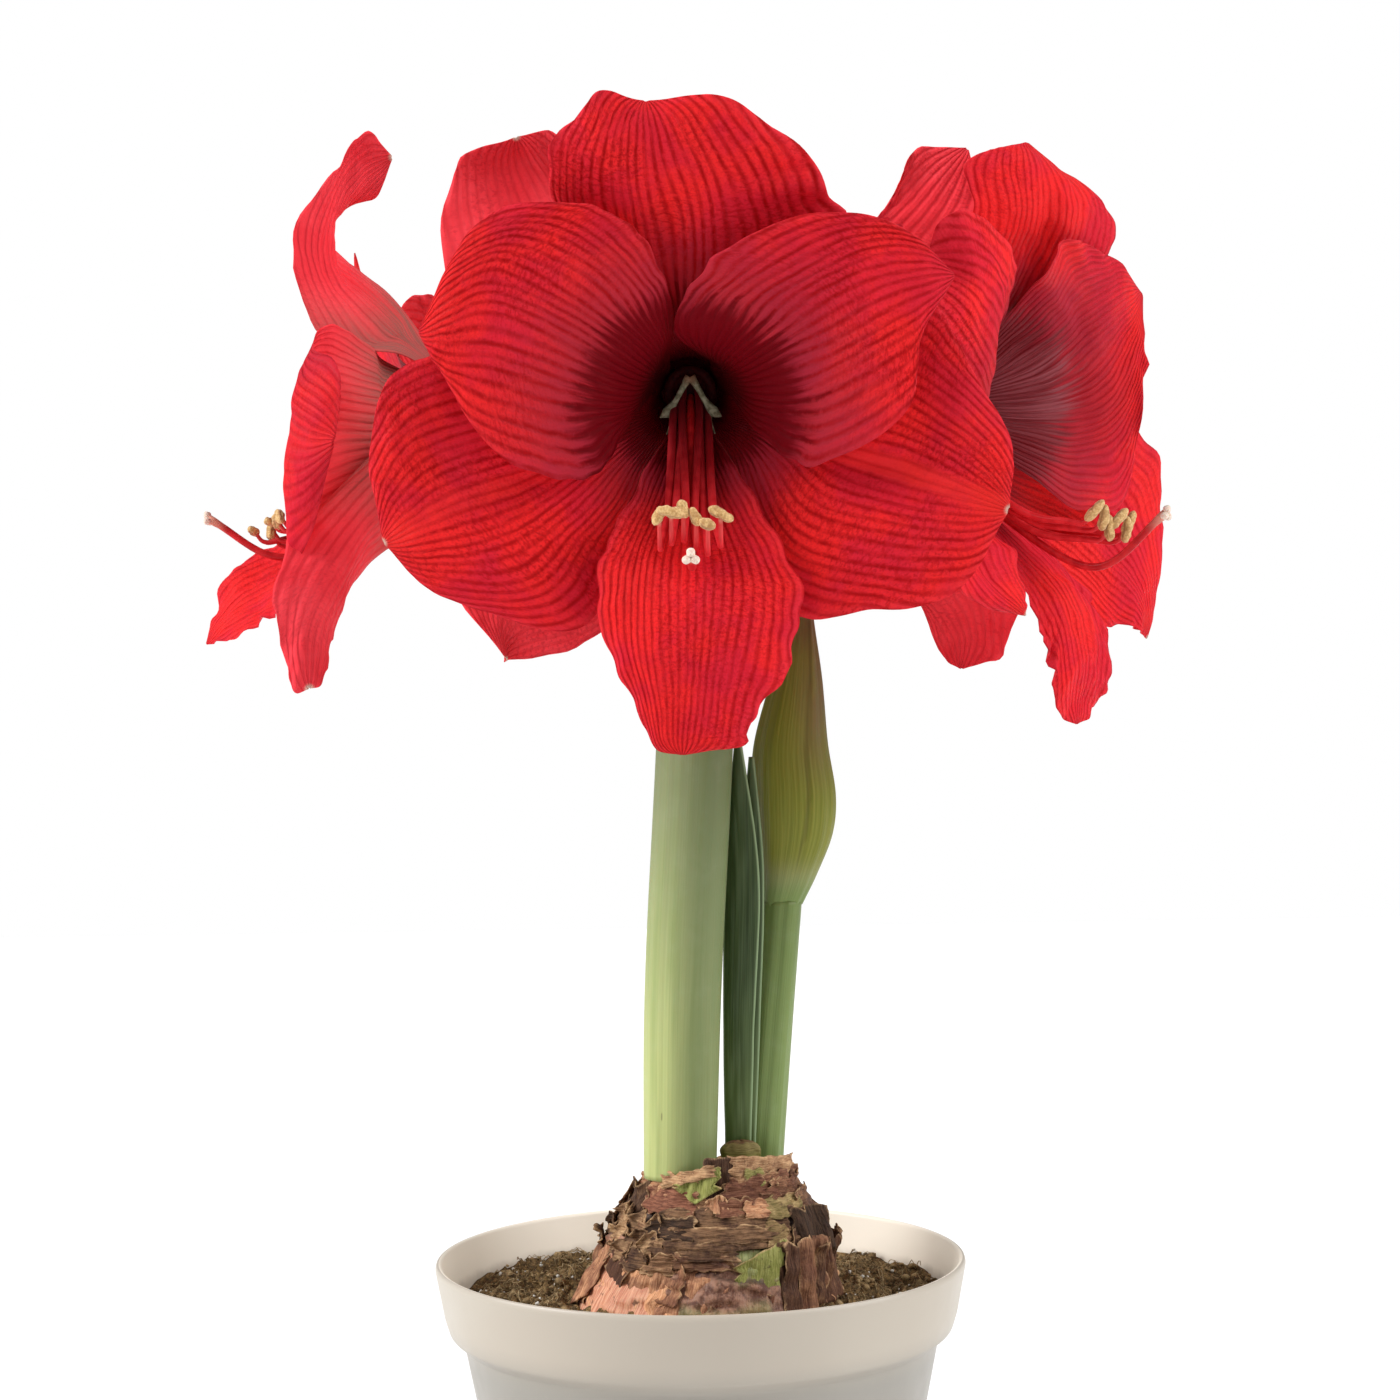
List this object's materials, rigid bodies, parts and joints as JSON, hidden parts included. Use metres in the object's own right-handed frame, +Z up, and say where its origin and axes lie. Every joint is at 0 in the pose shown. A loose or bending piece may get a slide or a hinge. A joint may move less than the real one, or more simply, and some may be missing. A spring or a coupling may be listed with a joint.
{
  "type": "potted amaryllis",
  "caption": "Flowering amaryllis (Hippeastrum) bulb in a round tapered pot, with an umbel of open trumpet flowers on a thick leafless scape and a second scape in bud.",
  "frame": {"origin": "centre of the flat underside of the pot", "axes": "+Z up along the pot's axis and the scapes, -Y towards the side the front flower faces, +X to the right seen from that side"},
  "size_m": [0.3296, 0.253, 0.5355],
  "materials": {
    "pot_plastic": "cream plastic, smooth, slightly satin",
    "potting_soil": "dark fibrous peat with white grains",
    "bulb_skin": "bare bulb scales, salmon pink to green, finely striped",
    "dry_tunic": "dry brown papery tunic, wrinkled and torn",
    "scape_green": "smooth, faintly bloomed green stalk",
    "bud_green": "olive green spathe with fine lengthwise lines",
    "leaf_green": "dark blue-green strap leaf with paler margins",
    "bract_straw": "withered straw-coloured spathe",
    "petal_red": "velvety red petal with darker veins and a maroon throat",
    "flower_tube": "green pedicel and ovary, red towards the petals",
    "stamen": "red filaments with powdery yellow anthers",
    "pistil_red": "red style with a pale stigma"
  },
  "bodies": {
    "root": {"pot": "pot_plastic", "soil": "potting_soil", "bulb": "bulb_skin", "tunic_front_left": "dry_tunic", "tunic_front_right": "dry_tunic", "tunic_right_flap": "dry_tunic", "tunic_back_right": "dry_tunic", "tunic_back_left": "dry_tunic", "tunic_left": "dry_tunic", "tunic_neck_front": "dry_tunic", "tunic_neck_back": "dry_tunic", "scape_main": "scape_green", "scape_bud": "scape_green", "bud": "bud_green", "leaf_front": "leaf_green", "leaf_back": "leaf_green", "leaf_stub": "leaf_green", "bract_left": "bract_straw", "bract_right": "bract_straw", "front_tube": "flower_tube", "front_tepal_top": "petal_red", "front_tepal_upper_left": "petal_red", "front_tepal_upper_right": "petal_red", "front_tepal_lower_left": "petal_red", "front_tepal_lower_right": "petal_red", "front_tepal_bottom": "petal_red", "front_stamens": "stamen", "front_pistil": "pistil_red", "right_tube": "flower_tube", "right_tepal_top": "petal_red", "right_tepal_upper_left": "petal_red", "right_tepal_upper_right": "petal_red", "right_tepal_lower_right": "petal_red", "right_tepal_bottom": "petal_red", "right_tepal_lower_left": "petal_red", "right_stamens": "stamen", "right_pistil": "pistil_red", "left_tube": "flower_tube", "left_tepal_top": "petal_red", "left_tepal_upper_right": "petal_red", "left_tepal_lower_right": "petal_red", "left_tepal_bottom": "petal_red", "left_tepal_lower_left": "petal_red", "left_tepal_upper_left": "petal_red", "left_stamens": "stamen", "left_pistil": "pistil_red", "back_tube": "flower_tube", "back_tepal_upper_right": "petal_red", "back_tepal_right": "petal_red", "back_tepal_upper_left": "petal_red", "back_tepal_left": "petal_red", "back_tepal_lower_left": "petal_red", "back_tepal_lower_right": "petal_red", "back_stamens": "stamen", "back_pistil": "pistil_red"}
  },
  "joints": []
}
